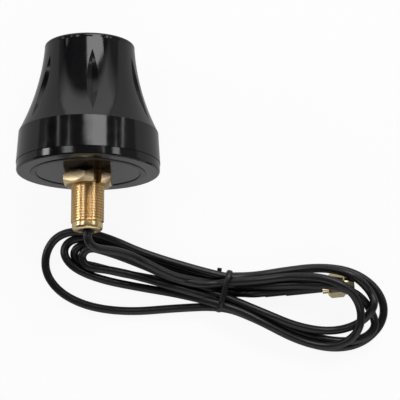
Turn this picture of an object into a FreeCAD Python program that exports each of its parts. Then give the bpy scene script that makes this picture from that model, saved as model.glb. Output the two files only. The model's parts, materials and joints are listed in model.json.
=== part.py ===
import FreeCAD, Part
import math
import os

import Sketcher

V = FreeCAD.Vector
UPRIGHT = FreeCAD.Rotation()

os.makedirs("parts", exist_ok=True)
doc = FreeCAD.newDocument("ScrewMountAntenna")

# Driving dimensions, in millimetres, degrees and counts

DIMENSIONS = {
    # radome
    "antenna_height": 48.2,
    "top_radius": 16.5,
    "top_round": 1.0,
    "cap_height": 1.7,
    "flare_radius": 85.0,
    "lip_height": 14.75,
    "skirt_draft": 0.75,
    "lip_round": 0.25,
    "skirt_radius": 26.15,
    "radome_wall": 2.2,
    "groove_count": 6,
    "groove_path_radius": 37.5,
    "groove_tip_reach": 0.44,
    "groove_centre_drop": 7.14,
    "groove_mouth": 5.0,
    "groove_half_angle": 60.0,
    "groove_sweep": 90.0,
    "groove_turn": 6.5,
    # base plate and seal ring
    "plate_inset": 0.15,
    "plate_thickness": 3.2,
    "plate_floor": 2.4,
    "plate_round": 0.8,
    "seam_gap": 0.15,
    "spigot_height": 2.6,
    "spigot_wall": 1.5,
    "spigot_clearance": 0.1,
    "seal_inset": 7.25,
    "seal_width": 2.1,
    "seal_depth": 1.4,
    "seal_stand": 0.3,
    "seal_clearance": 0.12,
    # hollow threaded stud
    "stud_radius": 6.0,
    "stud_length": 21.5,
    "stud_plain_end": 2.9,
    "stud_thread_depth": 0.45,
    "stud_tip_round": 1.2,
    "stud_bore": 3.4,
    "stud_hole_clearance": 0.1,
    "flange_reach": 3,
    "flange_thickness": 1.6,
    "neck_step": 1,
    "neck_height": 2.4,
    # slotted hexagon nut
    "nut_wall": 2.5,
    "nut_thickness": 5.0,
    "nut_face_inset": 0.5,
    "nut_slot": 3.0,
    "nut_running_clearance": 0.05,
    "nut_slot_turn": 27.1,
    # ground plate and its screws
    "ground_clearance": 1.35,
    "ground_thickness": 0.8,
    "screw_count": 3,
    "screw_radius": 1.1,
    "screw_length": 3.0,
    "screw_head_radius": 2.0,
    "screw_head_height": 1.3,
    "screw_hole_clearance": 0.15,
    "boss_radius": 2.6,
    # antenna board
    "board_side_clearance": 2.3,
    "board_thickness": 1.0,
    "board_top_clearance": 5,
    "board_feed_clearance": 0.05,
    "board_notch_width": 12.0,
    "board_notch_height": 5.0,
    "copper": 0.2,
    "low_band_margin": 3,
    "low_band_pitch": 4.4,
    "low_band_turns": 5,
    "low_band_width": 1.6,
    "high_band_length": 17.0,
    "high_band_width": 3.0,
    "feed_height": 13.0,
    "bracket_clearance": 1.7,
    "bracket_width": 4.6,
    "bracket_sheet": 0.5,
    "bracket_leg": 5.0,
    "bracket_foot": 4.0,
    # coaxial cord
    "cord_radius": 1.55,
    "jacket_wall": 0.35,
    "braid_wall": 0.3,
    "conductor_radius": 0.24,
    "jacket_end": 8.2,
    "braid_end": 9.4,
    "dielectric_end": 11.2,
    "conductor_end": 14.4,
    "feed_ferrule_wall": 0.65,
    "feed_ferrule_length": 2.0,
    "grommet_length": 4.5,
    "grommet_inset": 0.4,
    "cable_clearance": 0.05,
    # plug on the far end of the cord
    "plug_floor_gap": 0.08,
    "plug_turn": 5.8,
    "coupling_wall": 1.2,
    "coupling_hex_length": 6.2,
    "coupling_length": 9.7,
    "coupling_rear_chamfer": 0.45,
    "coupling_front_chamfer": 0.15,
    "coupling_lip_round": 0.35,
    "coupling_thread_radius": 2.8,
    "coupling_running_clearance": 0.06,
    "coupling_rear_wall": 3.4,
    "barrel_clearance": 0.1,
    "barrel_rear": 2.1,
    "contact_clearance": 0.5,
    "contact_wall": 0.25,
    "contact_end": 7.0,
    "ring_seat": 1.3,
    "ring_thickness": 0.5,
    "ring_groove_depth": 0.4,
    "ring_stand": 0.35,
    "ring_gap": 1.4,
    "ring_play": 0.05,
    "gasket_thickness": 0.9,
    "gasket_clearance": 0.08,
    "stem_step": 0.1,
    "stem_bore": 0.78,
    "crimp_length": 6.9,
    "crimp_wall": 0.4,
    "pin_radius": 0.46,
    "pin_end": 8.9,
    "pin_point": 0.4,
    "small_sleeve_wall": 0.25,
    "small_sleeve_rear": 23.7,
    "small_sleeve_front": 9.6,
    "large_sleeve_wall": 0.25,
    "large_sleeve_rear": 15.9,
    "large_sleeve_front": 2.3,
    # tied hank and its tie
    "hank_thickness": 6.0,
    "hank_round": 0.8,
    "tie_radius": 1.1,
    "tie_clearance": 0.05,
    "plug_tunnel_clearance": 0.45,
}

sheet = doc.addObject("Spreadsheet::Sheet", "Sizes")
for row, (alias, number) in enumerate(DIMENSIONS.items(), start=1):
    sheet.set("A%d" % row, alias)
    sheet.set("B%d" % row, "%g" % number)
    sheet.setAlias("B%d" % row, alias)
doc.recompute()


class Size:
    """A length that keeps both its number and the sheet expression it comes from."""

    def __init__(self, number, text):
        self.number = number
        self.text = text

    def joined(self, other, sign, number):
        text = other.text if isinstance(other, Size) else "%.6f" % other
        return Size(number, "(%s %s %s)" % (self.text, sign, text))

    def __add__(self, other):
        return self.joined(other, "+", self.number + plain(other))

    def __sub__(self, other):
        return self.joined(other, "-", self.number - plain(other))

    def __mul__(self, other):
        return self.joined(other, "*", self.number * plain(other))

    def __truediv__(self, other):
        return self.joined(other, "/", self.number / plain(other))

    def __neg__(self):
        return self * -1.0


def plain(value):
    return value.number if isinstance(value, Size) else float(value)


def size(alias):
    return Size(float(sheet.get(alias)), "Sizes." + alias)


def at(height):
    return FreeCAD.Placement(V(0, 0, plain(height)), UPRIGHT)


def about_z(angle):
    return FreeCAD.Placement(V(0, 0, 0), FreeCAD.Rotation(V(0, 0, 1), angle))


# Sketches and features

def new_body(label):
    body = doc.addObject("PartDesign::Body", label)
    body.Label = label
    return body


def origin_part(body, role):
    return [part for part in body.Origin.OriginFeatures if part.Role == role][0]


def new_sketch(body, name, role, offset=None):
    sketch = body.newObject("Sketcher::SketchObject", name)
    sketch.AttachmentSupport = [(origin_part(body, role), "")]
    sketch.MapMode = "FlatFace"
    if offset is not None:
        sketch.AttachmentOffset = at(offset)
        sketch.setExpression("AttachmentOffset.Base.z", offset.text)
    return sketch


def fix_point(sketch, edge, end, corner):
    for kind, value in (("DistanceX", corner[0]), ("DistanceY", corner[1])):
        index = sketch.addConstraint(Sketcher.Constraint(kind, -1, 1, edge, end, plain(value)))
        if isinstance(value, Size):
            sketch.setExpression("Constraints[%d]" % index, value.text)


def arc_middle(start, end, radius):
    """Middle of the arc from start to end that bulges to the left of the way it goes."""
    chord = end - start
    half = chord.Length / 2
    rise = radius - math.sqrt(radius * radius - half * half)
    left = V(-chord.y, chord.x, 0).normalize()
    return (start + end) / 2 + left * rise


def add_outline(sketch, corners, arcs=None):
    """Closed outline through corners; arcs gives the radius of the edge that starts at a corner."""
    arcs = arcs or {}
    points = [V(plain(x), plain(y), 0) for x, y in corners]
    count = len(points)
    ends = []
    for i, start in enumerate(points):
        end = points[(i + 1) % count]
        if i in arcs:
            middle = arc_middle(start, end, plain(arcs[i]))
            edge = sketch.addGeometry(Part.Arc(end, middle, start), False)
            ends.append((edge, 2, 1))
            index = sketch.addConstraint(Sketcher.Constraint("Radius", edge, plain(arcs[i])))
            sketch.setExpression("Constraints[%d]" % index, arcs[i].text)
        else:
            edge = sketch.addGeometry(Part.LineSegment(start, end), False)
            ends.append((edge, 1, 2))
    for i, (edge, first, last) in enumerate(ends):
        next_edge, next_first, _ = ends[(i + 1) % count]
        sketch.addConstraint(Sketcher.Constraint("Coincident", edge, last, next_edge, next_first))
        fix_point(sketch, edge, first, corners[i])


def add_circle(sketch, x, y, radius):
    edge = sketch.addGeometry(Part.Circle(V(plain(x), plain(y), 0), V(0, 0, 1), plain(radius)), False)
    index = sketch.addConstraint(Sketcher.Constraint("Radius", edge, plain(radius)))
    sketch.setExpression("Constraints[%d]" % index, radius.text)
    fix_point(sketch, edge, 3, (x, y))


def revolve(body, name, corners, arcs=None, kind="PartDesign::Revolution"):
    sketch = new_sketch(body, name + "_profile", "XZ_Plane")
    add_outline(sketch, corners, arcs)
    feature = body.newObject(kind, name)
    feature.Profile = sketch
    feature.ReferenceAxis = (sketch, ["V_Axis"])
    feature.Angle = 360.0
    sketch.Visibility = False
    doc.recompute()
    return feature


def cut_round(body, name, corners, arcs=None):
    return revolve(body, name, corners, arcs, kind="PartDesign::Groove")


def pad(body, name, sketch, length, midplane=False):
    feature = body.newObject("PartDesign::Pad", name)
    feature.Profile = sketch
    feature.Length = plain(length)
    feature.setExpression("Length", length.text)
    feature.Midplane = midplane
    doc.recompute()
    return feature


def pocket(body, name, sketch, length, midplane=False, reverse=False):
    feature = body.newObject("PartDesign::Pocket", name)
    feature.Profile = sketch
    feature.Length = plain(length)
    feature.setExpression("Length", length.text)
    feature.Midplane = midplane
    feature.Reversed = reverse
    doc.recompute()
    return feature


def repeat_round(body, name, feature, count):
    pattern = body.newObject("PartDesign::PolarPattern", name)
    pattern.Originals = [feature]
    pattern.Axis = (origin_part(body, "Z_Axis"), [""])
    pattern.Angle = 360.0
    pattern.Occurrences = int(plain(count))
    pattern.setExpression("Occurrences", count.text)
    body.Tip = pattern
    doc.recompute()
    return pattern


def round_edges(body, name, base, radius, heights):
    """Fillet the full circles of base that lie at one of the given (radius, height) places."""
    chosen = []
    for number, edge in enumerate(base.Shape.Edges, start=1):
        if not isinstance(edge.Curve, Part.Circle):
            continue
        for ring, height in heights:
            near_radius = abs(edge.Curve.Radius - plain(ring)) < 1e-3
            near_height = abs(edge.Curve.Center.z - plain(height)) < 1e-3
            if near_radius and near_height:
                chosen.append("Edge%d" % number)
    fillet = body.newObject("PartDesign::Fillet", name)
    fillet.Base = (base, chosen)
    fillet.Radius = plain(radius)
    fillet.setExpression("Radius", radius.text)
    doc.recompute()
    return fillet


def rectangle(left, low, right, high):
    return [(left, low), (right, low), (right, high), (left, high)]


def hexagon(across):
    """Corners of a hexagon whose flats, not its corners, face the X axis."""
    corner = across / math.sqrt(3.0)
    turns = [math.radians(30 + 60 * step) for step in range(6)]
    return [(corner * math.cos(turn), corner * math.sin(turn)) for turn in turns]


ZERO = 0.0

# Sizes that follow from others, each with a named allowance

corner_ratio = 1.0 / math.sqrt(3.0)
flare_top_height = size("antenna_height") - size("cap_height")
lip_radius = size("skirt_radius") - size("skirt_draft")
groove_centre_radius = size("top_radius") + size("groove_tip_reach") + size("groove_path_radius")
groove_centre_height = flare_top_height - size("groove_centre_drop")
plate_radius = size("skirt_radius") - size("plate_inset")
seal_inner_radius = plate_radius - size("seal_inset")
stud_thread_length = size("stud_length") - size("stud_plain_end")
stud_tip_radius = size("stud_radius") - size("stud_thread_depth")
flange_radius = size("stud_radius") + size("flange_reach")
neck_radius = size("stud_radius") - size("neck_step")
nut_across = (size("stud_radius") + size("nut_wall")) * 2.0
nut_face_radius = nut_across / 2.0 - size("nut_face_inset")
spigot_outside = size("skirt_radius") - size("radome_wall") - size("spigot_clearance")
spigot_inside = spigot_outside - size("spigot_wall")
ground_radius = spigot_inside - size("ground_clearance")
screw_ring_radius = (flange_radius + ground_radius) / 2.0
board_half = size("top_radius") - size("radome_wall") - size("board_side_clearance")
board_top = size("antenna_height") - size("radome_wall") - size("board_top_clearance")
low_band_reach = board_half - size("low_band_margin")
bracket_offset = neck_radius + size("bracket_width") / 2.0 + size("bracket_clearance")
braid_radius = size("cord_radius") - size("jacket_wall")
dielectric_radius = braid_radius - size("braid_wall")
board_face = dielectric_radius + size("board_feed_clearance")
feed_ferrule_radius = size("cord_radius") + size("cable_clearance") + size("feed_ferrule_wall")
coupling_across = (size("coupling_thread_radius") + size("coupling_wall")) * 2.0
coupling_rear_radius = coupling_across / 2.0 - size("coupling_rear_chamfer")
coupling_front_radius = coupling_across / 2.0 - size("coupling_front_chamfer")
plug_axis_height = coupling_across * corner_ratio + size("plug_floor_gap")
barrel_radius = size("coupling_thread_radius") - size("barrel_clearance")
contact_radius = size("coupling_thread_radius") - size("contact_clearance")
contact_bore = contact_radius - size("contact_wall")
ring_inner_radius = barrel_radius - size("ring_groove_depth")
ring_outer_radius = barrel_radius + size("ring_stand")
gasket_radius = size("coupling_thread_radius") - size("gasket_clearance")
stem_radius = size("cord_radius") - size("stem_step")
crimp_radius = stem_radius + size("crimp_wall")
small_sleeve_radius = size("cord_radius") + size("small_sleeve_wall")
large_sleeve_radius = crimp_radius + size("large_sleeve_wall")

# Heights above the base face that several pieces share

floor_top = size("plate_floor")
flange_top = floor_top + size("flange_thickness")
ground_top = flange_top + size("ground_thickness")
neck_top = flange_top + size("neck_height")
skirt_bottom = size("plate_thickness") + size("seam_gap")
stud_end = -size("stud_length")


# Radome: one hollow moulding with six leaf-shaped V grooves down its flare

def build_radome():
    body = new_body("radome")
    top = size("antenna_height")
    corners = [
        (ZERO, skirt_bottom),
        (size("skirt_radius"), skirt_bottom),
        (lip_radius, size("lip_height")),
        (size("top_radius"), flare_top_height),
        (size("top_radius"), top),
        (ZERO, top),
    ]
    solid = revolve(body, "radome_outside", corners, {2: size("flare_radius")})
    rings = [(size("top_radius"), top)]
    solid = round_edges(body, "radome_top_round", solid, size("top_round"), rings)
    rings = [(lip_radius, size("lip_height"))]
    round_edges(body, "radome_lip_round", solid, size("lip_round"), rings)

    wall = size("radome_wall")
    mouth = size("skirt_radius") - wall
    corners = [
        (ZERO, skirt_bottom - 1.0),
        (mouth, skirt_bottom - 1.0),
        (mouth, size("lip_height") - wall),
        (size("top_radius") - wall, flare_top_height - wall),
        (size("top_radius") - wall, top - wall),
        (ZERO, top - wall),
    ]
    cut_round(body, "radome_inside", corners, {2: size("flare_radius")})

    sketch = new_sketch(body, "radome_groove_profile", "XY_Plane", groove_centre_height)
    tip = groove_centre_radius - size("groove_path_radius")
    half = size("groove_mouth") * math.tan(math.radians(plain(size("groove_half_angle"))))
    add_outline(sketch, [(tip, ZERO), (tip + size("groove_mouth"), -half), (tip + size("groove_mouth"), half)])
    centre = plain(groove_centre_radius)
    ends = V(centre, -plain(half), 0), V(centre, plain(half), 0)
    axis = sketch.addGeometry(Part.LineSegment(*ends), True)
    sketch.addConstraint(Sketcher.Constraint("Vertical", axis))
    fix_point(sketch, axis, 1, (groove_centre_radius, -half))
    groove = body.newObject("PartDesign::Groove", "radome_groove")
    groove.Profile = sketch
    groove.ReferenceAxis = (sketch, ["Axis0"])
    groove.Midplane = True
    groove.Angle = plain(size("groove_sweep"))
    groove.setExpression("Angle", "Sizes.groove_sweep")
    doc.recompute()
    repeat_round(body, "radome_grooves", groove, size("groove_count"))
    return body


# Base plate: closes the radome, carries the seal ring outside and three bosses inside

def build_base_plate():
    body = new_body("base_plate")
    spigot_top = size("plate_thickness") + size("spigot_height")
    hole = size("stud_radius") + size("stud_hole_clearance")
    corners = [
        (hole, ZERO),
        (plate_radius, ZERO),
        (plate_radius, size("plate_thickness")),
        (spigot_outside, size("plate_thickness")),
        (spigot_outside, spigot_top),
        (spigot_inside, spigot_top),
        (spigot_inside, floor_top),
        (hole, floor_top),
    ]
    solid = revolve(body, "plate_disc", corners)
    round_edges(body, "plate_edge_round", solid, size("plate_round"), [(plate_radius, ZERO)])
    inner = seal_inner_radius
    outer = inner + size("seal_width")
    cut_round(body, "seal_channel", rectangle(inner, -1.0, outer, size("seal_depth")))
    sketch = new_sketch(body, "boss_profile", "XY_Plane", floor_top)
    add_circle(sketch, screw_ring_radius, ZERO, size("boss_radius"))
    boss = pad(body, "boss", sketch, size("flange_thickness"))
    repeat_round(body, "bosses", boss, size("screw_count"))
    sketch = new_sketch(body, "pilot_profile", "XY_Plane", flange_top)
    add_circle(sketch, screw_ring_radius, ZERO, size("screw_radius"))
    depth = size("screw_length") - size("ground_thickness") + 0.2
    pilot = pocket(body, "pilot", sketch, depth)
    repeat_round(body, "pilots", pilot, size("screw_count"))
    return body


def build_seal_ring():
    body = new_body("seal_ring")
    inner = seal_inner_radius + size("seal_clearance")
    outer = seal_inner_radius + size("seal_width") - size("seal_clearance")
    stand = -size("seal_stand")
    solid = revolve(body, "seal_section", rectangle(inner, stand, outer, size("seal_depth")))
    round_edges(body, "seal_round", solid, size("seal_stand"), [(inner, stand), (outer, stand)])
    return body


# Stud: hollow, threaded outside, with a flange that sits on the plate's floor

def build_stud():
    body = new_body("stud")
    shoulder = -stud_thread_length
    run_out = size("stud_radius") - stud_tip_radius
    corners = [
        (size("stud_bore"), stud_end),
        (stud_tip_radius, stud_end),
        (stud_tip_radius, shoulder - run_out),
        (size("stud_radius"), shoulder),
        (size("stud_radius"), floor_top),
        (flange_radius, floor_top),
        (flange_radius, flange_top),
        (neck_radius, flange_top),
        (neck_radius, neck_top),
        (size("stud_bore"), neck_top),
    ]
    solid = revolve(body, "stud_section", corners)
    round_edges(body, "stud_tip", solid, size("stud_tip_round"), [(stud_tip_radius, stud_end)])
    return body


# Hexagon nut with chamfered faces and one slot that lets the cord through

def build_mounting_nut():
    body = new_body("mounting_nut")
    thickness = size("nut_thickness")
    sketch = new_sketch(body, "nut_hexagon", "XY_Plane", -thickness)
    add_outline(sketch, hexagon(nut_across))
    pad(body, "nut_blank", sketch, thickness)
    face = nut_face_radius
    past = nut_across / math.sqrt(3.0) - face + 0.4
    for name, low, inward in (("nut_low_chamfer", -thickness, 1.0), ("nut_high_chamfer", thickness * 0.0, -1.0)):
        corners = [(face, low), (face + past, low + past * inward), (face + past, low)]
        cut_round(body, name, corners if inward > 0 else corners[::-1])
    bore = size("stud_radius") + size("nut_running_clearance")
    cut_round(body, "nut_bore", rectangle(ZERO, -thickness - 1.0, bore, thickness * 0.0 + 1.0))
    sketch = new_sketch(body, "nut_slot_profile", "XY_Plane", thickness * 0.0)
    half = size("nut_slot") / 2
    add_outline(sketch, rectangle(ZERO, -half, nut_across, half))
    pocket(body, "nut_slot", sketch, thickness + 1.0)
    return body


# Ground plate under the board, and the screws that hold it

def build_ground_plate():
    body = new_body("ground_plate")
    neck = neck_radius
    revolve(body, "ground_disc", rectangle(neck, flange_top, ground_radius, ground_top))
    sketch = new_sketch(body, "ground_hole_profile", "XY_Plane", ground_top)
    add_circle(sketch, screw_ring_radius, ZERO, size("screw_radius") + size("screw_hole_clearance"))
    hole = pocket(body, "ground_hole", sketch, size("ground_thickness"))
    repeat_round(body, "ground_holes", hole, size("screw_count"))
    return body


def build_screws():
    head = size("screw_head_radius")
    head_top = ground_top + size("screw_head_height")
    tip = ground_top - size("screw_length")
    shank = size("screw_radius")
    corners = [
        (ZERO, tip),
        (shank, tip),
        (shank, ground_top),
        (head, ground_top),
        (head, head_top),
        (ZERO, head_top),
    ]
    screw = new_body("screw_pattern_source")
    solid = revolve(screw, "screw_section", corners)
    round_edges(screw, "screw_head_round", solid, size("screw_head_height") / 2, [(head, head_top)])
    doc.recompute()
    count = int(plain(size("screw_count")))
    ring = plain(screw_ring_radius)
    copies = []
    for number in range(count):
        turn = about_z(360.0 * number / count)
        copy = screw.Shape.copy()
        copy.Placement = turn.multiply(FreeCAD.Placement(V(ring, 0, 0), UPRIGHT))
        copies.append(copy)
    group = doc.addObject("Part::Feature", "ground_screws")
    group.Shape = Part.makeCompound(copies)
    return group


# Antenna board with its two radiating strips

def build_board():
    body = new_body("antenna_board")
    sketch = new_sketch(body, "board_profile", "XZ_Plane", -board_face - size("board_thickness"))
    half = board_half
    notch = size("board_notch_width") / 2
    notch_top = ground_top + size("board_notch_height")
    corners = [
        (-half, ground_top),
        (-notch, ground_top),
        (-notch, notch_top),
        (notch, notch_top),
        (notch, ground_top),
        (half, ground_top),
        (half, board_top),
        (-half, board_top),
    ]
    add_outline(sketch, corners)
    pad(body, "board_sheet", sketch, size("board_thickness"))
    return body


def strip_outline(points, width):
    """Outline of a strip of one width along a path of level and upright runs."""
    half = width / 2
    left, right = [], []
    for i, (x, y) in enumerate(points):
        before = points[max(i - 1, 0)]
        after = points[min(i + 1, len(points) - 1)]
        runs = []
        for start, end in ((before, points[i]), (points[i], after)):
            step = V(plain(end[0]) - plain(start[0]), plain(end[1]) - plain(start[1]), 0)
            if step.Length > 0:
                runs.append(step.normalize())
        side = V(0, 0, 0)
        for run in runs:
            normal = V(-run.y, run.x, 0)
            side = side + normal if (side - normal).Length > 1e-9 else side
        left.append((half * side.x + x, half * side.y + y))
        right.append((half * -side.x + x, half * -side.y + y))
    return left + right[::-1]


def build_low_band():
    body = new_body("low_band_element")
    reach = low_band_reach
    height = size("feed_height") - size("low_band_width")
    path = [(reach * 0.0, height), (reach * 0.0, height + size("low_band_pitch") / 2)]
    side = -1.0
    level = path[-1][1]
    path.append((reach * side, level))
    for _ in range(int(plain(size("low_band_turns"))) - 1):
        level = level + size("low_band_pitch")
        path.append((reach * side, level))
        side = -side
        path.append((reach * side, level))
    sketch = new_sketch(body, "low_band_profile", "XZ_Plane", -board_face)
    add_outline(sketch, strip_outline(path, size("low_band_width")))
    pad(body, "low_band_strip", sketch, size("copper"))
    return body


def build_high_band():
    body = new_body("high_band_element")
    back = -board_face - size("board_thickness") - size("copper")
    sketch = new_sketch(body, "high_band_profile", "XZ_Plane", back)
    half = size("high_band_width") / 2
    top = size("feed_height") + size("high_band_length")
    add_outline(sketch, rectangle(-half, size("feed_height"), half, top))
    pad(body, "high_band_strip", sketch, size("copper"))
    return body


def build_bracket(label, side):
    body = new_body(label)
    back = board_face + size("board_thickness")
    sheet_metal = size("bracket_sheet")
    foot_end = back + size("bracket_foot")
    leg_top = ground_top + size("bracket_leg")
    corners = [
        (back, ground_top),
        (foot_end, ground_top),
        (foot_end, ground_top + sheet_metal),
        (back + sheet_metal, ground_top + sheet_metal),
        (back + sheet_metal, leg_top),
        (back, leg_top),
    ]
    sketch = new_sketch(body, label + "_profile", "YZ_Plane", bracket_offset * side)
    add_outline(sketch, corners)
    pad(body, label + "_sheet", sketch, size("bracket_width"), midplane=True)
    return body


# Inner end of the coaxial cord, stripped back in steps

def build_tube(label, inner, outer, low, high):
    body = new_body(label)
    revolve(body, label + "_section", rectangle(inner, low, outer, high))
    return body


def build_feed():
    cord = size("cord_radius")
    braid = braid_radius
    dielectric = dielectric_radius
    wire = size("conductor_radius")
    pieces = [
        build_tube("feed_jacket", braid, cord, stud_end, size("jacket_end")),
        build_tube("feed_braid", dielectric, braid, stud_end, size("braid_end")),
        build_tube("feed_dielectric", wire, dielectric, stud_end, size("dielectric_end")),
        build_tube("feed_conductor", ZERO, wire, stud_end, size("conductor_end")),
    ]
    ferrule_top = neck_top + size("feed_ferrule_length")
    snug = cord + size("cable_clearance")
    pieces.append(build_tube("feed_ferrule", snug, feed_ferrule_radius, neck_top, ferrule_top))
    grommet_low = stud_end + size("grommet_inset")
    grommet_high = grommet_low + size("grommet_length")
    pieces.append(build_tube("stud_grommet", snug, size("stud_bore"), grommet_low, grommet_high))
    solder = new_body("feed_solder")
    half = size("high_band_width") / 2
    sketch = new_sketch(solder, "feed_solder_profile", "XY_Plane", size("feed_height") - half)
    front = board_face - size("copper")
    corners = [(-half, front), (half, front), (wire, wire * 0.0 + wire), (-wire, wire * 0.0 + wire)]
    add_outline(sketch, corners[::-1])
    pad(solder, "feed_solder_pad", sketch, half)
    pieces.append(solder)
    return pieces


# Plug: everything turns about its own Z axis, which runs from the cord to the mouth

def build_coupling_nut():
    body = new_body("coupling_nut")
    across = coupling_across
    hex_end = size("coupling_hex_length")
    end = size("coupling_length")
    sketch = new_sketch(body, "coupling_hexagon", "XY_Plane")
    add_outline(sketch, hexagon(across))
    pad(body, "coupling_blank", sketch, hex_end)
    lip = coupling_front_radius
    corner = across / math.sqrt(3.0) + 0.2
    rear = coupling_rear_radius
    front = coupling_front_radius
    cut_round(body, "coupling_rear_chamfer", [(rear, ZERO), (corner, ZERO), (corner, corner - rear)])
    slope = math.tan(math.radians(40))
    drop = (corner - front) * slope
    cut_round(body, "coupling_front_chamfer", [(front, hex_end), (corner, hex_end - drop), (corner, hex_end)])
    solid = revolve(body, "coupling_lip", rectangle(ZERO, hex_end - drop, lip, end))
    round_edges(body, "coupling_lip_round", solid, size("coupling_lip_round"), [(lip, end)])
    play = size("ring_play")
    bore = barrel_radius + size("coupling_running_clearance")
    thread = size("coupling_thread_radius")
    channel = ring_outer_radius + size("coupling_running_clearance")
    channel_low = size("ring_seat") - play
    channel_high = size("ring_seat") + size("ring_thickness") + play
    corners = [
        (ZERO, -1.0),
        (bore, -1.0),
        (bore, channel_low),
        (channel, channel_low),
        (channel, channel_high),
        (bore, channel_high),
        (bore, size("coupling_rear_wall")),
        (thread, size("coupling_rear_wall")),
        (thread, end - 0.5),
        (thread + 0.45, end),
        (thread + 0.45, end + 1.0),
        (ZERO, end + 1.0),
    ]
    cut_round(body, "coupling_bore", corners)
    return body


def build_plug_body():
    body = new_body("plug_body")
    barrel = barrel_radius
    contact = contact_radius
    rear = -size("barrel_rear")
    stem_end = rear - size("crimp_length")
    wall = size("coupling_rear_wall") - 0.1
    corners = [
        (size("stem_bore"), stem_end),
        (stem_radius, stem_end),
        (stem_radius, rear),
        (barrel, rear),
        (barrel, size("ring_seat")),
        (ring_inner_radius, size("ring_seat")),
        (ring_inner_radius, size("ring_seat") + size("ring_thickness")),
        (barrel, size("ring_seat") + size("ring_thickness")),
        (barrel, wall),
        (contact, wall),
        (contact, size("contact_end")),
        (contact_bore, size("contact_end")),
        (contact_bore, size("ring_seat")),
        (size("stem_bore"), size("ring_seat")),
    ]
    revolve(body, "plug_body_section", corners)
    return body


def build_snap_ring():
    body = new_body("snap_ring")
    low = size("ring_seat")
    high = low + size("ring_thickness")
    revolve(body, "snap_ring_section", rectangle(ring_inner_radius, low, ring_outer_radius, high))
    sketch = new_sketch(body, "snap_ring_gap_profile", "XY_Plane", high)
    half = size("ring_gap") / 2
    add_outline(sketch, rectangle(ZERO, -half, ring_outer_radius + 1.0, half))
    pocket(body, "snap_ring_gap", sketch, size("ring_thickness") + 1.0)
    return body


def build_plug_pin():
    body = new_body("plug_pin")
    radius = size("pin_radius")
    end = size("pin_end")
    stem_end = -size("barrel_rear") - size("crimp_length")
    point = size("pin_point")
    corners = [
        (ZERO, stem_end),
        (radius, stem_end),
        (radius, end - point),
        (radius - point * 0.7, end),
        (ZERO, end),
    ]
    revolve(body, "plug_pin_section", corners)
    return body


def build_plug():
    barrel_rear = -size("barrel_rear")
    stem_end = barrel_rear - size("crimp_length")
    wall = size("coupling_rear_wall") - 0.1
    contact = contact_radius
    return [
        build_plug_body(),
        build_snap_ring(),
        build_plug_pin(),
        build_tube("plug_insulator", size("pin_radius"), contact_bore, size("ring_seat"), size("contact_end")),
        build_tube("plug_gasket", contact, gasket_radius, wall, wall + size("gasket_thickness")),
        build_tube("crimp_ferrule", stem_radius, crimp_radius, stem_end, barrel_rear),
        build_sleeve(),
        build_tube("small_sleeve", size("cord_radius"), small_sleeve_radius,
                   -size("small_sleeve_rear"), -size("small_sleeve_front")),
    ]


def build_sleeve():
    """Large heat-shrink sleeve, stepped down over the small one behind the ferrule."""
    body = new_body("large_sleeve")
    ferrule_end = -size("barrel_rear") - size("crimp_length")
    front = -size("large_sleeve_front")
    rear = -size("large_sleeve_rear")
    inside = small_sleeve_radius
    corners = [
        (inside, rear),
        (large_sleeve_radius, rear),
        (large_sleeve_radius, front),
        (crimp_radius, front),
        (crimp_radius, ferrule_end),
        (inside, ferrule_end),
    ]
    revolve(body, "large_sleeve_section", corners)
    return body


# How the antenna lies: on the skirt's lip and the rounded top edge

def lying_placement():
    edge_height = plain(size("lip_height"))
    edge_radius = plain(lip_radius)
    rounding = plain(size("top_round"))
    round_height = plain(size("antenna_height")) - rounding
    round_radius = plain(size("top_radius")) - rounding
    rise = round_height - edge_height
    fall = edge_radius - round_radius
    tilt = math.atan2(fall, rise) - math.asin(rounding / math.hypot(rise, fall))
    lift = edge_height * math.sin(tilt) + edge_radius * math.cos(tilt)
    front = round_height * math.cos(tilt) + round_radius * math.sin(tilt) + rounding
    tip_round = plain(size("stud_tip_round"))
    tip_height = plain(size("stud_length")) - tip_round
    tip_radius = plain(stud_tip_radius) - tip_round
    back = tip_height * math.cos(tilt) + tip_radius * math.sin(tilt) + tip_round
    shift = (back - front) / 2
    turn = FreeCAD.Rotation(V(1, 0, 0), -90.0 - math.degrees(tilt))
    return FreeCAD.Placement(V(0, shift, lift), turn)


LYING = lying_placement()


# Cord: straight runs joined by tangent arcs

ARC_SHARE = 0.45


def rounded_wire(points, closed=False, share=ARC_SHARE):
    """Wire along points whose corners are arcs as large as their two runs allow."""
    count = len(points)
    edges = []
    radii = []
    corners = range(count) if closed else range(1, count - 1)
    cuts = {}
    for i in corners:
        before, here, after = points[i - 1], points[i], points[(i + 1) % count]
        back = before - here
        ahead = after - here
        turn = math.pi - back.getAngle(ahead)
        reach = share * min(back.Length, ahead.Length)
        radii.append(reach / math.tan(turn / 2))
        back.normalize()
        ahead.normalize()
        start = here + back * reach
        end = here + ahead * reach
        inward = (back + ahead).normalize()
        centre = here + inward * (radii[-1] / math.cos(turn / 2))
        middle = centre - inward * radii[-1]
        cuts[i] = (start, middle, end)
    for i in range(count if closed else count - 1):
        following = (i + 1) % count
        start = cuts[i][2] if i in cuts else points[i]
        end = cuts[following][0] if following in cuts else points[following]
        edges.append(Part.LineSegment(start, end).toShape())
        if following in cuts:
            edges.append(Part.Arc(*cuts[following]).toShape())
    return Part.Wire(edges), radii


def sweep_round(wire, radius):
    start = wire.Edges[0].valueAt(wire.Edges[0].FirstParameter)
    along = wire.Edges[0].tangentAt(wire.Edges[0].FirstParameter)
    section = Part.Wire(Part.makeCircle(radius, start, along))
    return wire.makePipeShell([section], True, False)


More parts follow.
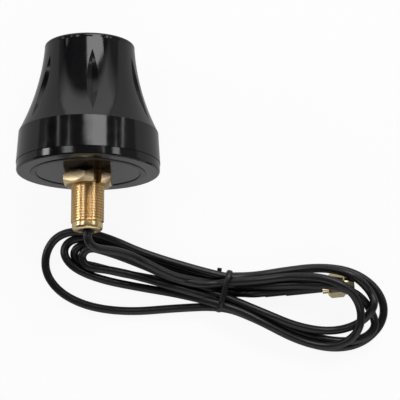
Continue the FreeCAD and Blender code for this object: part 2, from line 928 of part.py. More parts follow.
def add_cord(label, points, radius):
    wire, radii = rounded_wire(points)
    solid = sweep_round(wire, radius)
    wanted = math.pi * radius ** 2 * wire.Length
    print("%s: length %.1f, tightest arcs %s, volume %.1f of %.1f"
          % (label, wire.Length, ["%.1f" % r for r in sorted(radii)[:3]], solid.Volume, wanted))
    feature = doc.addObject("Part::Feature", label)
    feature.Shape = solid
    return feature


def route(points):
    return [V(x, y, z) for x, y, z in points]


# The plug lies under the hank's right loop, its nut's rear face at this place

PLUG_X = 88.35
PLUG_Y = -56.93


def plug_placement():
    turn = math.radians(plain(size("plug_turn")))
    along = V(math.cos(turn), math.sin(turn), 0)
    up = V(0, 0, 1)
    rotation = FreeCAD.Rotation(up, along.cross(up), along, "ZXY")
    return FreeCAD.Placement(V(PLUG_X, PLUG_Y, plain(plug_axis_height)), rotation)


PLUG = plug_placement()


def along_plug(distance):
    return PLUG.multVec(V(0, 0, distance))


# Lead from the stud's mouth down onto the hank

LEAD_POINTS = [
    (2.8, -43.2, 33.8),
    (4.6, -46.4, 28.5),
    (5.5, -47.8, 20.5),
    (6.8, -49.0, 12.5),
    (10.4, -50.0, 6.2),
    (16.4, -50.4, 4.2),
    (21.0, -51.5, 4.2),
]


def build_lead():
    mouth = LYING.multVec(V(0, 0, plain(stud_end)))
    straight = LYING.multVec(V(0, 0, plain(stud_end) - 3.5))
    return add_cord("cord_lead", [mouth, straight] + route(LEAD_POINTS), plain(size("cord_radius")))


# Tail from the hank's waist to the back of the plug

TAIL_START = V(52.6, -61.2, 3.6)
TAIL_BEND = 30.0


def build_tail():
    plug_back = plain(size("barrel_rear")) + plain(size("crimp_length"))
    points = [TAIL_START, along_plug(-TAIL_BEND), along_plug(-plug_back)]
    return add_cord("cord_tail", points, plain(size("cord_radius")))


# Wire tie: over the hank's waist, under it and out at the top as a cut end

TIE_LOW = plain(size("tie_radius") + size("tie_clearance"))
TIE_POINTS = [
    (53.5, -56.4, TIE_LOW),
    (53.1, -51.9, TIE_LOW),
    (52.6, -51.7, None),
    (47.5, -67.2, None),
    (47.7, -67.3, TIE_LOW),
    (48.1, -48.8, TIE_LOW),
]


def build_tie():
    high = plain(size("hank_thickness")) + plain(size("tie_radius"))
    points = [V(x, y, high if z is None else z) for x, y, z in TIE_POINTS]
    wire, _ = rounded_wire(points, share=0.4)
    feature = doc.addObject("Part::Feature", "wire_tie")
    feature.Shape = sweep_round(wire, plain(size("tie_radius")))
    return feature, wire


# Hank: the outer shape of its turns, open inside both loops

HANK_OUTLINE = [
    (50.0, -53.1), (62.1, -52.5), (78.2, -47.7), (96.3, -46.9), (108.3, -52.7), (113.6, -63.6),
    (109.9, -75.1), (99.4, -82.1), (84.3, -83.0), (67.2, -76.1), (48.0, -66.4), (34.0, -65.6),
    (16.9, -69.0), (-1.2, -67.2), (-13.3, -60.1), (-19.6, -49.5), (-17.8, -39.0), (-8.2, -34.8),
    (4.9, -34.7), (15.9, -40.0), (30.0, -47.3), (40.0, -51.7),
]
RIGHT_OPENING = [
    (55.1, -60.4), (66.1, -57.7), (80.2, -55.3), (90.3, -56.3), (97.9, -62.2), (98.3, -68.4),
    (88.3, -72.5), (76.2, -69.2), (63.1, -64.0),
]
LEFT_OPENING = [
    (-12.8, -43.4), (-15.3, -50.5), (-10.7, -57.1), (-1.2, -62.6), (11.8, -65.2), (28.9, -62.8),
    (14.9, -59.5), (0.8, -56.5), (-7.2, -51.7),
]


def flat_face(points):
    wire, _ = rounded_wire([V(x, y, 0) for x, y in points], closed=True)
    return Part.Face(wire)


def build_hank(lead, tail, tie_wire):
    ring = flat_face(HANK_OUTLINE).cut(flat_face(RIGHT_OPENING)).cut(flat_face(LEFT_OPENING))
    thickness = plain(size("hank_thickness"))
    solid = ring.extrude(V(0, 0, thickness))

    # the strands rise over the plug's nut, so the ring has a hump there
    nut_corner = plain(coupling_across) / math.sqrt(3.0)
    tunnel = nut_corner + plain(size("plug_tunnel_clearance"))
    strand = 2 * plain(size("cord_radius"))
    axis_start = along_plug(-2.5)
    axis = along_plug(1.0) - along_plug(0.0)
    nut_span = plain(size("coupling_length")) + 4.0
    hump = Part.makeCylinder(tunnel + strand, nut_span, axis_start, axis)
    tall = ring.extrude(V(0, 0, 3 * thickness))
    solid = solid.fuse(hump.common(tall))

    # room for the plug and its sleeves, open towards the surface below
    cuts = [Part.makeCylinder(tunnel, nut_span, axis_start, axis)]
    cuts.append(slot_below(axis_start, axis, nut_span, tunnel))
    sleeve_room = plain(large_sleeve_radius) + plain(size("tie_clearance")) + 0.2
    sleeve_start = along_plug(-plain(size("small_sleeve_rear")) - 1.5)
    sleeve_span = (axis_start - sleeve_start).Length + 0.5
    cuts.append(Part.makeCylinder(sleeve_room, sleeve_span, sleeve_start, axis))
    cuts.append(slot_below(sleeve_start, axis, sleeve_span, sleeve_room))
    tie_room = plain(size("tie_radius")) + plain(size("tie_clearance"))
    cuts.append(sweep_round(tie_wire, tie_room))
    cuts.append(lead.Shape)
    cuts.append(tail.Shape)
    for cut in cuts:
        solid = solid.cut(cut)
    feature = doc.addObject("Part::Feature", "cord_hank")
    feature.Shape = max(solid.Solids, key=lambda piece: piece.Volume)
    return feature


def slot_below(start, axis, span, half_width):
    """Upright slot from a lying cylinder's axis down to the surface."""
    block = Part.makeBox(span, 2 * half_width, start.z + 0.5)
    block.translate(V(0, -half_width, -start.z - 0.5))
    angle = math.degrees(math.atan2(axis.y, axis.x))
    block.Placement = FreeCAD.Placement(start, FreeCAD.Rotation(V(0, 0, 1), angle)).multiply(block.Placement)
    return block


# Assembly

antenna_pieces = [
    (build_radome(), about_z(plain(size("groove_turn")) - 90.0)),
    (build_base_plate(), about_z(90.0)),
    (build_seal_ring(), about_z(0.0)),
    (build_stud(), about_z(0.0)),
    (build_mounting_nut(), about_z(plain(size("nut_slot_turn")) - 90.0)),
    (build_ground_plate(), about_z(90.0)),
    (build_screws(), about_z(90.0)),
    (build_board(), about_z(0.0)),
    (build_low_band(), about_z(0.0)),
    (build_high_band(), about_z(0.0)),
    (build_bracket("left_board_bracket", -1.0), about_z(0.0)),
    (build_bracket("right_board_bracket", 1.0), about_z(0.0)),
]
antenna_pieces += [(piece, about_z(0.0)) for piece in build_feed()]
for piece, own_turn in antenna_pieces:
    piece.Placement = LYING.multiply(own_turn)

plug_pieces = build_plug()
coupling_nut = build_coupling_nut()
for piece in plug_pieces + [coupling_nut]:
    piece.Placement = PLUG

cord_lead = build_lead()
cord_tail = build_tail()
wire_tie, tie_wire = build_tie()
cord_hank = build_hank(cord_lead, cord_tail, tie_wire)
doc.recompute()

nodes = [piece for piece, _ in antenna_pieces]
nodes += plug_pieces + [coupling_nut, cord_lead, cord_hank, cord_tail, wire_tie]

for item in doc.Objects:
    if "Invalid" in item.State or "Error" in item.State:
        raise RuntimeError("%s did not recompute: %s" % (item.Label, item.State))
for node in nodes:
    shape = node.Shape
    if shape.isNull() or not shape.isValid():
        raise RuntimeError("%s has no valid shape" % node.Label)
    shape.exportStep("parts/%s.step" % node.Label)
print("%d nodes written" % len(nodes))
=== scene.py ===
import json
import math

import bmesh
import bpy
import numpy
from mathutils import Matrix, Vector


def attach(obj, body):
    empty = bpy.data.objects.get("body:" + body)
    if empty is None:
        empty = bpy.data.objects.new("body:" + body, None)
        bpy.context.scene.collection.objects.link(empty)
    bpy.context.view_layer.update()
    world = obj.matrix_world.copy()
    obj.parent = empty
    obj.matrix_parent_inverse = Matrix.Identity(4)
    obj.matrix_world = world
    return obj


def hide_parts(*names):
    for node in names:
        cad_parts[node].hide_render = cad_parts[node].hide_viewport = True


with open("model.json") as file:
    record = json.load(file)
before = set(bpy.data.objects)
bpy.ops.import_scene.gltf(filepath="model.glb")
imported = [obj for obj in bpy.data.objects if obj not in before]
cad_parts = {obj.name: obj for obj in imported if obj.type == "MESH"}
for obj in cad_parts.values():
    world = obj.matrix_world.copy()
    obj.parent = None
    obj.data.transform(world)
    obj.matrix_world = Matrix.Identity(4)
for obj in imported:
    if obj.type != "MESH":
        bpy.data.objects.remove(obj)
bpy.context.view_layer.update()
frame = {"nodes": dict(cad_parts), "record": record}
nodes = frame["nodes"]
MM = 0.001


# Camera, looking down on the lying antenna

camera_data = bpy.data.cameras.new("camera")
camera_data.sensor_width = 36.0
camera_data.lens = 180.03
camera_data.clip_start = 0.01
camera = bpy.data.objects.new("camera", camera_data)
camera.location = (0.0405, -0.00717, 0.75212)
camera.rotation_euler = (math.radians(-1.34), 0.0, 0.0)
bpy.context.scene.collection.objects.link(camera)
bpy.context.scene.camera = camera


# Frames of the antenna and of the plug, as they lie

TILT = math.radians(15.277)
PLATE_CENTRE = Vector((0.0, -14.344, 28.389))
LYING = Matrix.Translation(PLATE_CENTRE * MM) @ Matrix.Rotation(-math.pi / 2 - TILT, 4, "X")
PLUG_TURN = math.radians(5.8)
PLUG_SEAT = Vector((88.35, -56.93, 4.7))


def along_plug(distance):
    """Place on the plug's axis at this distance in front of its seat."""
    return PLUG_SEAT + distance * Vector((math.cos(PLUG_TURN), math.sin(PLUG_TURN), 0.0))


plug_axes = Matrix((
    (0.0, math.sin(PLUG_TURN), math.cos(PLUG_TURN)),
    (0.0, -math.cos(PLUG_TURN), math.sin(PLUG_TURN)),
    (1.0, 0.0, 0.0),
))
PLUG = Matrix.Translation(PLUG_SEAT * MM) @ plug_axes.to_4x4()


# Cord: lead from the stud, eight loops through the tie, tail into the plug

CORD_DIAMETER = 3.1
LEAD = [
    (0.0, -35.08, 34.05), (0.0, -38.46, 34.97), (2.4, -41.2, 33.6), (6.0, -42.0, 29.0), (10.0, -42.8, 23.5),
    (14.5, -44.5, 18.0), (20.0, -47.4, 14.6), (26.0, -50.6, 13.0), (33.0, -53.7, 11.2),
]
TIE_PLACE = Vector((50.2, -59.3, 0.0))
TIE_TURN = math.radians(-11.3)
ALONG = Vector((math.cos(TIE_TURN), math.sin(TIE_TURN), 0.0))
ACROSS = Vector((-ALONG.y, ALONG.x, 0.0))
LOOP_STEPS = 14

# each loop: side, reach, lean, fullness, skew, then of its upper and of its lower half
# rise, pinch, wave, slot and height in the tie, and layer (a higher layer lies on a lower one)
LOOPS = [
    (1, 56.0, 2.4, 1.11, -10.8, (18.4, 7.97, 4.1, 2.6, 1.55, 3), (8.8, 2.14, -7.2, -3.6, 1.55, 2)),
    (-1, 53.5, 5.2, 1.14, 13.0, (6.4, 5.61, -6.0, 4.2, 7.40, 3), (7.3, 4.00, 1.1, -3.6, 1.55, 3)),
    (1, 51.5, -3.2, 1.00, 3.0, (17.5, 1.70, 3.1, 4.2, 7.40, 6), (16.0, 2.37, 0.5, -4.6, 6.90, 6)),
    (-1, 62.1, 7.0, 1.11, 9.0, (11.0, 4.56, -5.5, 5.9, 1.55, 1), (11.2, 3.31, -3.0, -4.6, 6.90, 2)),
    (1, 60.0, 6.1, 1.00, -5.7, (16.1, 2.69, 2.7, 5.9, 1.55, 1), (14.8, 1.89, -8.4, -5.2, 4.00, 1)),
    (-1, 68.7, -3.8, 2.47, -9.4, (35.5, 8.00, 1.5, 5.3, 4.55, 4), (30.5, 4.65, 6.1, -5.2, 4.00, 0.5)),
    (1, 52.9, 11.1, 1.04, -12.4, (14.1, 7.00, 2.1, 5.3, 4.55, 4), (3.9, 1.44, -14.0, -1.6, 4.45, 4)),
    (-1, 58.5, 3.0, 1.93, -1.5, (9.9, 4.55, -2.6, -0.5, 1.55, 2), (7.5, 4.71, 2.0, -1.6, 4.45, 1)),
]


def loop_points(side, reach, lean, full, skew, first, last):
    """Places, layers and held marks of one loop, from its upper slot in the tie round to its lower one."""
    points = []
    ease = 1.0 / max(full, 1.0)
    for step in range(LOOP_STEPS + 1):
        share = step / LOOP_STEPS
        rise, pinch, wave, slot, tie_height, layer = first if share <= 0.5 else last
        way = 0.5 * (2 * share) ** ease if share <= 0.5 else 1 - 0.5 * (2 - 2 * share) ** ease
        swell = max(math.sin(math.pi * way), 0.0)
        turn = math.sin(2 * math.pi * way)
        out = swell ** (2 * full)
        across = lean * out + rise * turn * swell ** pinch + wave * turn * turn * swell
        across += slot * math.cos(math.pi * way) ** 2
        along = side * reach * out + skew * turn * swell
        held = step in (0, LOOP_STEPS)
        height = tie_height if held else CORD_DIAMETER / 2
        place = TIE_PLACE + along * ALONG + across * ACROSS + Vector((0.0, 0.0, height))
        if step not in (1, LOOP_STEPS - 1):
            points.append((place, layer, held))
    return points if side > 0 else points[::-1]


LEAD_LAYER = 9
TAIL_DISTANCES = (28.0, 22.0, 15.0, 9.0)
route = [(Vector(point), LEAD_LAYER, True) for point in LEAD]
for number, loop in enumerate(LOOPS):
    turn = loop_points(*loop)
    route += turn if number == 0 else turn[1:]
tail_start = len(route)
route.append((Vector((56.5, -59.6, 2.4)), 0, True))
route += [(along_plug(-distance), 0, True) for distance in TAIL_DISTANCES]


# Bends tighter than the cord allows are opened

LEAST_BEND = 2.6
OPENING = 0.12
SWEEPS = 30


def bend_radius(before, middle, after):
    """Smallest radius of the quadratic stretch round this control point."""
    start = (before + middle) / 2
    end = (middle + after) / 2
    change = 2 * (end - 2 * middle + start)
    radii = []
    for step in range(11):
        slope = 2 * ((middle - start) * (1 - step / 10) + (end - middle) * step / 10)
        radii.append(slope.length ** 3 / max(slope.cross(change).length, 1e-9))
    return min(radii)


for sweep in range(SWEEPS):
    for number in range(len(LEAD) + 1, tail_start - 1):
        stretch = route[number - 1:number + 2]
        flat = [Vector((place.x, place.y, 0.0)) for place, layer, held in stretch]
        any_held = any(held for place, layer, held in stretch)
        if not any_held and bend_radius(*flat) < LEAST_BEND:
            shift = OPENING * (flat[0] - flat[2]).normalized()
            route[number - 1] = (stretch[0][0] + shift, *stretch[0][1:])
            route[number + 1] = (stretch[2][0] - shift, *stretch[2][1:])


# Heights of the turns: each lies on the floor, on the plug or on the turns of lower layers that it crosses

# stretches of the plug's axis and their radii
PLUG_STEPS = [
    (-24.0, -9.6, 1.8), (-16.0, -2.2, 2.1), (-2.4, 0.2, 2.75), (-0.6, 6.6, 4.35), (6.0, 10.1, 3.85),
]
NEAR_TIE = 12.0
SAME_STRAND = 12.0
HIGHEST = 15.0


def settled(route, samples=10, rounds=500):
    """The route's points, raised until turns that cross just touch."""
    places = numpy.array([place for place, layer, held in route])
    layers = numpy.array([layer for place, layer, held in route], dtype=float)
    held = numpy.array([held for place, layer, held in route])
    count = len(route)
    weights = numpy.zeros(((count - 2) * samples, count))
    for row in range(len(weights)):
        t = (row % samples + 0.5) / samples
        first = row // samples
        weights[row, first:first + 3] = ((1 - t) ** 2 / 2, 0.5 + t - t * t, t * t / 2)
    owner = numpy.arange(len(weights)) // samples + 1
    line = weights @ places
    steps = numpy.linalg.norm(numpy.diff(line, axis=0), axis=1)
    run = numpy.concatenate([[0.0], numpy.cumsum(steps)])
    one, other = numpy.where(numpy.triu(run[None, :] - run[:, None] > SAME_STRAND))
    apart = numpy.linalg.norm(line[one, :2] - line[other, :2], axis=1)
    from_tie = numpy.abs((line - numpy.array(TIE_PLACE)) @ numpy.array(ALONG))
    free = (from_tie > NEAR_TIE) & (owner >= len(LEAD))
    meet = (apart < CORD_DIAMETER) & free[one] & free[other]
    one, other, apart = one[meet], other[meet], apart[meet]
    one_over = layers[owner[one]] > layers[owner[other]]
    same = layers[owner[one]] == layers[owner[other]]
    one_over |= same & (one < other)
    upper = numpy.where(one_over, one, other)
    lower = numpy.where(one_over, other, one)
    needed = numpy.sqrt(CORD_DIAMETER ** 2 - apart ** 2)

    lowest = CORD_DIAMETER / 2
    ground = numpy.full(len(line), lowest)
    offset = line[:, :2] - numpy.array(PLUG_SEAT)[:2]
    on_axis = offset @ numpy.array((math.cos(PLUG_TURN), math.sin(PLUG_TURN)))
    beside = numpy.abs(offset @ numpy.array((-math.sin(PLUG_TURN), math.cos(PLUG_TURN))))
    for start, end, radius in PLUG_STEPS:
        reach = radius + CORD_DIAMETER / 2
        above = (owner < tail_start) & (layers[owner] > 1)
        above &= (on_axis > start) & (on_axis < end) & (beside < reach)
        over_plug = PLUG_SEAT.z + numpy.sqrt(reach ** 2 - beside[above] ** 2)
        ground[above] = numpy.maximum(ground[above], over_plug)

    heights = places[:, 2].copy()
    for step in range(rounds):
        now = weights @ heights
        push = numpy.maximum(ground - now, 0.0)
        numpy.maximum.at(push, upper, needed - (now[upper] - now[lower]))
        heights = numpy.where(held, heights, heights + 0.5 * (weights * push[:, None]).max(axis=0))
        if step < 0.8 * rounds:
            smooth = heights.copy()
            smooth[1:-1] = 0.25 * heights[:-2] + 0.5 * heights[1:-1] + 0.25 * heights[2:]
            sunk = 0.96 * (0.9 * heights + 0.1 * smooth) + 0.04 * CORD_DIAMETER / 2
            heights = numpy.where(held, heights, numpy.clip(sunk, lowest, HIGHEST))
    places[:, 2] = heights
    return [Vector(place) for place in places]


cord_points = settled(route)


def smooth_curve(name, points, radius, resolution=6):
    """Round curve of one open NURBS spline with these control points, in millimetres."""
    data = bpy.data.curves.new(name, "CURVE")
    data.dimensions = "3D"
    data.bevel_depth = radius * MM
    data.bevel_resolution = 6
    data.resolution_u = resolution
    data.use_fill_caps = True
    spline = data.splines.new("NURBS")
    spline.points.add(len(points) - 1)
    for knot, point in zip(spline.points, points):
        knot.co = (point[0] * MM, point[1] * MM, point[2] * MM, 1.0)
    spline.order_u = 3
    spline.use_endpoint_u = True
    piece = bpy.data.objects.new(name, data)
    bpy.context.scene.collection.objects.link(piece)
    return piece


cord = smooth_curve("coaxial_cord", cord_points, CORD_DIAMETER / 2, resolution=8)


# Wire tie: a flat band round the bundle, slanting a little, and its cut end behind

BAND_HALF_WIDTH = 1.1
BAND_HALF_THICKNESS = 0.5
BAND_POWER = 2.0 / 3.2
BAND_ACROSS, BAND_HALF_ACROSS = 0.4, 7.7
BAND_HEIGHT, BAND_HALF_HEIGHT = 5.05, 4.45
BAND_BACK, BAND_SLANT = -0.8, 0.7
BAND_STEPS = 64


def squared(share):
    """Sine or cosine bent towards a rounded rectangle."""
    return math.copysign(abs(share) ** BAND_POWER, share)


def band_ring(angle, sides=12):
    """Rounded section of the band where it stands at this angle round the bundle."""
    across = BAND_ACROSS + BAND_HALF_ACROSS * squared(math.cos(angle))
    height = BAND_HEIGHT + BAND_HALF_HEIGHT * squared(math.sin(angle))
    along = BAND_BACK + BAND_SLANT * math.cos(angle)
    outward = (ACROSS * math.cos(angle) * 0.6 + Vector((0.0, 0.0, math.sin(angle)))).normalized()
    middle = TIE_PLACE + ALONG * along + ACROSS * across + Vector((0.0, 0.0, height))
    ring = []
    for side in range(sides):
        turn = 2 * math.pi * side / sides
        wide = ALONG * BAND_HALF_WIDTH * math.cos(turn)
        thick = outward * BAND_HALF_THICKNESS * math.sin(turn)
        ring.append(middle + wide + thick)
    return ring


# Threads cut as helical ridges on plain cores

def add_ridge(mesh, root, crest, pitch, low, high, base_half, crest_half, steps):
    """Closed helical ridge about Z, fading out over half a turn at both ends."""
    count = int((high - low) / pitch * steps)
    fade = steps // 2
    rings = []
    for step in range(count + 1):
        angle = 2 * math.pi * step / steps
        height = low + pitch * step / steps
        share = min(1.0, step / fade, (count - step) / fade)
        top = root + (crest - root) * share
        sunk = root - 0.1 * math.copysign(1.0, crest - root)
        section = [(sunk, -base_half), (top, -crest_half), (top, crest_half), (sunk, base_half)]
        ring = []
        for radius, offset in section:
            corner = (radius * math.cos(angle), radius * math.sin(angle), height + offset)
            ring.append(mesh.verts.new(corner))
        rings.append(ring)
    for before, after in zip(rings, rings[1:]):
        for side in range(4):
            following = (side + 1) % 4
            mesh.faces.new((before[side], before[following], after[following], after[side]))
    mesh.faces.new(rings[0][::-1])
    mesh.faces.new(rings[-1])


def add_lathe(mesh, outline, segments=96):
    """Closed ring of revolution about Z from an outline of (radius, height) corners."""
    rings = []
    for step in range(segments):
        angle = 2 * math.pi * step / segments
        rings.append([mesh.verts.new((r * math.cos(angle), r * math.sin(angle), z)) for r, z in outline])
    for step, ring in enumerate(rings):
        after = rings[(step + 1) % segments]
        for side in range(len(outline)):
            following = (side + 1) % len(outline)
            mesh.faces.new((ring[side], after[side], after[following], ring[following]))


def finish_mesh(mesh, name, place, angle=35.0):
    """Object of this mesh, given in millimetres and set in place, smooth but for its sharp edges."""
    bmesh.ops.recalc_face_normals(mesh, faces=mesh.faces)
    bmesh.ops.scale(mesh, vec=(MM, MM, MM), verts=mesh.verts)
    bmesh.ops.transform(mesh, matrix=place, verts=mesh.verts)
    for face in mesh.faces:
        face.smooth = True
    for edge in mesh.edges:
        if len(edge.link_faces) == 2 and edge.calc_face_angle() > math.radians(angle):
            edge.smooth = False
    data = bpy.data.meshes.new(name)
    mesh.to_mesh(data)
    mesh.free()
    piece = bpy.data.objects.new(name, data)
    bpy.context.scene.collection.objects.link(piece)
    return piece


def rounded(centre_radius, centre_height, radius, start, end, steps=5):
    """Corners of a quarter round in an outline, angles in degrees."""
    corners = []
    for step in range(steps + 1):
        angle = math.radians(start + (end - start) * step / steps)
        corners.append((centre_radius + radius * math.cos(angle), centre_height + radius * math.sin(angle)))
    return corners


STUD_BORE = 3.4
STUD_END = -21.5
STUD_TIP = 5.55
STUD_TIP_ROUND = 1.2
STUD_ROOT = 5.2
STUD_CREST = 5.97
FLANGE_LOW, FLANGE_HIGH, FLANGE_RADIUS = 2.4, 4.0, 9.0
NECK_RADIUS, NECK_HIGH = 5.0, 6.4
stud_outline = [(STUD_BORE, STUD_END + 0.4), (STUD_BORE + 0.15, STUD_END)]
stud_outline += rounded(STUD_TIP - STUD_TIP_ROUND, STUD_END + STUD_TIP_ROUND, STUD_TIP_ROUND, -90.0, 0.0)
stud_outline += [
    (STUD_TIP, -19.0), (STUD_ROOT, -18.65), (STUD_ROOT, FLANGE_LOW), (FLANGE_RADIUS, FLANGE_LOW),
    (FLANGE_RADIUS, FLANGE_HIGH), (NECK_RADIUS, FLANGE_HIGH), (NECK_RADIUS, NECK_HIGH),
    (STUD_BORE, NECK_HIGH),
]
stud_mesh = bmesh.new()
add_lathe(stud_mesh, stud_outline)
add_ridge(
    stud_mesh, root=STUD_ROOT, crest=STUD_CREST, pitch=1.0, low=-18.9, high=1.6,
    base_half=0.44, crest_half=0.15, steps=72,
)
stud = finish_mesh(stud_mesh, "threaded_stud", LYING)
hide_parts("stud")
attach(stud, "antenna")

tie_mesh = bmesh.new()
rings = []
for step in range(BAND_STEPS):
    corners = band_ring(2 * math.pi * step / BAND_STEPS)
    rings.append([tie_mesh.verts.new(corner) for corner in corners])
for step, ring in enumerate(rings):
    after = rings[(step + 1) % BAND_STEPS]
    for side in range(len(ring)):
        following = (side + 1) % len(ring)
        tie_mesh.faces.new((ring[side], after[side], after[following], ring[following]))
wire_tie = finish_mesh(tie_mesh, "wire_tie_band", Matrix.Identity(4))
TIE_END = [(47.6, -53.6, 1.2), (47.7, -52.0, 1.2), (47.9, -50.3, 1.3)]
tie_end = smooth_curve("wire_tie_end", TIE_END, 0.85)

thread_mesh = bmesh.new()
add_ridge(
    thread_mesh, root=2.82, crest=2.58, pitch=0.7, low=3.9, high=9.0,
    base_half=0.34, crest_half=0.05, steps=40,
)
coupling_thread = finish_mesh(thread_mesh, "coupling_thread", PLUG)
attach(coupling_thread, "coupling")


# Materials

ROUGH_SPREAD = 0.06


def new_material(name, colour, roughness, metallic=0.0, noise_scale=900.0, bump=0.02, colour_spread=0.12):
    """Principled material whose colour, roughness and surface vary finely with a noise."""
    material = bpy.data.materials.new(name)
    material.use_nodes = True
    tree = material.node_tree
    shader = tree.nodes["Principled BSDF"]
    shader.inputs["Metallic"].default_value = metallic
    place = tree.nodes.new("ShaderNodeTexCoord")
    noise = tree.nodes.new("ShaderNodeTexNoise")
    noise.inputs["Scale"].default_value = noise_scale
    noise.inputs["Detail"].default_value = 4.0
    tree.links.new(place.outputs["Object"], noise.inputs["Vector"])
    tone = tree.nodes.new("ShaderNodeMapRange")
    tone.inputs["To Min"].default_value = roughness - ROUGH_SPREAD
    tone.inputs["To Max"].default_value = roughness + ROUGH_SPREAD
    tree.links.new(noise.outputs["Fac"], tone.inputs["Value"])
    tree.links.new(tone.outputs["Result"], shader.inputs["Roughness"])
    mix = tree.nodes.new("ShaderNodeMix")
    mix.data_type = "RGBA"
    mix.inputs["A"].default_value = [c * (1 - colour_spread) for c in colour] + [1.0]
    mix.inputs["B"].default_value = [min(c * (1 + colour_spread), 1.0) for c in colour] + [1.0]
    tree.links.new(noise.outputs["Fac"], mix.inputs["Factor"])
    tree.links.new(mix.outputs["Result"], shader.inputs["Base Color"])
    relief = tree.nodes.new("ShaderNodeBump")
    relief.inputs["Strength"].default_value = bump
    relief.inputs["Distance"].default_value = 0.0002
    tree.links.new(noise.outputs["Fac"], relief.inputs["Height"])
    tree.links.new(relief.outputs["Normal"], shader.inputs["Normal"])
    return material


GLOSSY = {"noise_scale": 260.0, "bump": 0.03}
METAL = {"metallic": 1.0}
PLATED = {"metallic": 1.0, "noise_scale": 5000.0, "bump": 0.01}

# name: colour, roughness, the rest
FINISHES = {
    "radome_plastic": ((0.0052, 0.0052, 0.0062), 0.11, GLOSSY),
    "base_plastic": ((0.0052, 0.0052, 0.006), 0.11, GLOSSY),
    "rubber_seal": ((0.006, 0.006, 0.006), 0.24, {"noise_scale": 1500.0, "bump": 0.05}),
    "plated_stud": ((0.88, 0.67, 0.36), 0.26, PLATED),
    "plated_nut": ((0.90, 0.70, 0.42), 0.28, PLATED),
    "sheet_brass": ((0.72, 0.58, 0.30), 0.3, METAL),
    "steel_screws": ((0.55, 0.55, 0.55), 0.35, METAL),
    "board": ((0.05, 0.22, 0.10), 0.4, {}),
    "copper": ((0.75, 0.42, 0.25), 0.3, METAL),
    "solder": ((0.70, 0.70, 0.72), 0.35, METAL),
    "cord_jacket": ((0.010, 0.010, 0.0105), 0.35, {"noise_scale": 700.0, "bump": 0.06}),
    "braid": ((0.60, 0.58, 0.55), 0.4, METAL),
    "white_insulation": ((0.88, 0.88, 0.86), 0.45, {"colour_spread": 0.02}),
    "shrink_sleeve": ((0.008, 0.008, 0.008), 0.5, {"noise_scale": 1200.0, "bump": 0.15}),
    "gold_plate": ((0.92, 0.74, 0.46), 0.2, PLATED),
    "tie_plastic": ((0.008, 0.008, 0.008), 0.38, {"noise_scale": 1200.0, "bump": 0.1}),
}
materials = {}
for name, (colour, roughness, rest) in FINISHES.items():
    materials[name] = new_material(name, colour, roughness, **rest)


def dress(piece, slot):
    """The material of this slot alone on the piece."""
    piece.data.materials.clear()
    piece.data.materials.append(materials[slot])


for entry in frame["record"]["subparts"]:
    node = nodes[entry["node"]]
    for place in node.material_slots:
        place.material = materials[entry["material_slot"]]
dress(stud, "plated_stud")
dress(coupling_thread, "gold_plate")
dress(cord, "cord_jacket")
dress(wire_tie, "tie_plastic")
dress(tie_end, "tie_plastic")

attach(cord, "antenna")
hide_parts("cord_lead", "cord_hank", "cord_tail")
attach(wire_tie, "antenna")
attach(tie_end, "antenna")
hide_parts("wire_tie")


# Floor, backdrop and world

FLOOR_GREY = 0.55
FLOOR_GLOW = 1.15
GLOW_SEEN = 0.8
GLOW_IN_GLOSS = 0.2


def floor_material():
    """Pale floor that keeps shadows and shows nearly white to the camera."""
    material = bpy.data.materials.new("floor_white")
    material.use_nodes = True
    tree = material.node_tree
    tree.nodes.clear()
    output = tree.nodes.new("ShaderNodeOutputMaterial")
    matte = tree.nodes.new("ShaderNodeBsdfDiffuse")
    matte.inputs["Color"].default_value = (FLOOR_GREY, FLOOR_GREY, FLOOR_GREY, 1.0)
    glow = tree.nodes.new("ShaderNodeEmission")
    glow.inputs["Color"].default_value = (1.0, 1.0, 1.0, 1.0)
    glow.inputs["Strength"].default_value = FLOOR_GLOW
    seen = tree.nodes.new("ShaderNodeLightPath")
    in_gloss = tree.nodes.new("ShaderNodeMath")
    in_gloss.operation = "MULTIPLY"
    in_gloss.inputs[1].default_value = GLOW_IN_GLOSS
    share = tree.nodes.new("ShaderNodeMath")
    share.operation = "MULTIPLY_ADD"
    share.inputs[1].default_value = GLOW_SEEN
    mix = tree.nodes.new("ShaderNodeMixShader")
    tree.links.new(seen.outputs["Is Glossy Ray"], in_gloss.inputs[0])
    tree.links.new(seen.outputs["Is Camera Ray"], share.inputs[0])
    tree.links.new(in_gloss.outputs["Value"], share.inputs[2])
    tree.links.new(share.outputs["Value"], mix.inputs["Fac"])
    tree.links.new(matte.outputs["BSDF"], mix.inputs[1])
    tree.links.new(glow.outputs["Emission"], mix.inputs[2])
    tree.links.new(mix.outputs["Shader"], output.inputs["Surface"])
    return material


FLOOR_HALF = 3
FLOOR_CORNERS = [(-1, -1), (1, -1), (1, 1), (-1, 1)]
floor_data = bpy.data.meshes.new("floor")
floor_data.from_pydata([(x * FLOOR_HALF, y * FLOOR_HALF, 0) for x, y in FLOOR_CORNERS], [], [(0, 1, 2, 3)])
floor = bpy.data.objects.new("floor", floor_data)
floor.location.z = -0.0001
bpy.context.scene.collection.objects.link(floor)
floor_data.materials.append(floor_material())

# the studio is pale near the horizon and dark above, and dimmer towards both sides
HORIZON_SLANT = -0.15

world = bpy.data.worlds.new("studio")
bpy.context.scene.world = world
world.use_nodes = True
tree = world.node_tree
background = tree.nodes["Background"]
path = tree.nodes.new("ShaderNodeLightPath")
tint = tree.nodes.new("ShaderNodeMix")
tint.data_type = "RGBA"
tint.inputs["B"].default_value = (1.0, 1.0, 1.0, 1.0)
direction = tree.nodes.new("ShaderNodeTexCoord")
parts = tree.nodes.new("ShaderNodeSeparateXYZ")


def math_node(operation):
    node = tree.nodes.new("ShaderNodeMath")
    node.operation = operation
    return node


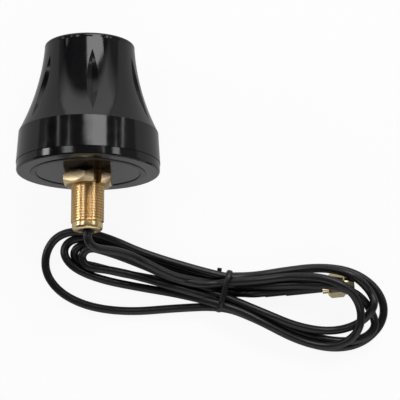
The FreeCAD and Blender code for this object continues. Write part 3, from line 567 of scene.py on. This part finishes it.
def range_node(from_min, from_max, to_min, to_max):
    node = tree.nodes.new("ShaderNodeMapRange")
    node.inputs["From Min"].default_value = from_min
    node.inputs["From Max"].default_value = from_max
    node.inputs["To Min"].default_value = to_min
    node.inputs["To Max"].default_value = to_max
    return node


slant = math_node("MULTIPLY_ADD")
slant.inputs[1].default_value = HORIZON_SLANT
low_band = range_node(0.24, 0.34, 1.3, 0.08)
sideways = math_node("ABSOLUTE")
sides = range_node(0.5, 0.75, 1.0, 0.15)
dimmed = math_node("MULTIPLY")
tree.links.new(direction.outputs["Generated"], parts.inputs["Vector"])
tree.links.new(parts.outputs["X"], slant.inputs[0])
tree.links.new(parts.outputs["Z"], slant.inputs[2])
tree.links.new(slant.outputs["Value"], low_band.inputs["Value"])
tree.links.new(parts.outputs["X"], sideways.inputs[0])
tree.links.new(sideways.outputs["Value"], sides.inputs["Value"])
tree.links.new(low_band.outputs["Result"], dimmed.inputs[0])
tree.links.new(sides.outputs["Result"], dimmed.inputs[1])
tree.links.new(dimmed.outputs["Value"], tint.inputs["A"])
tree.links.new(path.outputs["Is Camera Ray"], tint.inputs["Factor"])
tree.links.new(tint.outputs["Result"], background.inputs["Color"])
background.inputs["Strength"].default_value = 1.0


# Soft boxes round the camera

AIM = Vector((0.03, -0.02, 0.01))

# name, direction from the aim, distance, width, height, power
LAMPS = [
    ("box_main", (0.20, 0.72, 0.66), 1.1, 0.66, 0.46, 4.4),
    ("box_near", (0.1, -0.75, 0.8), 1.2, 0.9, 0.4, 1.6),
    ("low_left", (-0.91, 0.26, 0.30), 1.1, 0.34, 0.20, 1.5),
    ("band_left", (-0.54, 0.37, 0.74), 1.1, 0.50, 0.20, 0.95),
    ("band_right", (0.72, 0.38, 0.58), 1.1, 0.36, 0.18, 0.75),
    ("glint_left", (-0.69, 0.53, 0.49), 1.1, 0.03, 0.5, 0.12),
    ("glint_right", (0.79, 0.50, 0.36), 1.1, 0.03, 0.4, 0.1),
]
for name, direction, distance, width, height, power in LAMPS:
    data = bpy.data.lights.new(name, "AREA")
    data.shape = "RECTANGLE"
    data.size = width
    data.size_y = height
    data.energy = power
    lamp = bpy.data.objects.new(name, data)
    towards = Vector(direction).normalized()
    lamp.location = AIM + towards * distance
    lamp.rotation_euler = towards.to_track_quat("Z", "Y").to_euler()
    bpy.context.scene.collection.objects.link(lamp)

bpy.context.scene.view_settings.view_transform = "Standard"
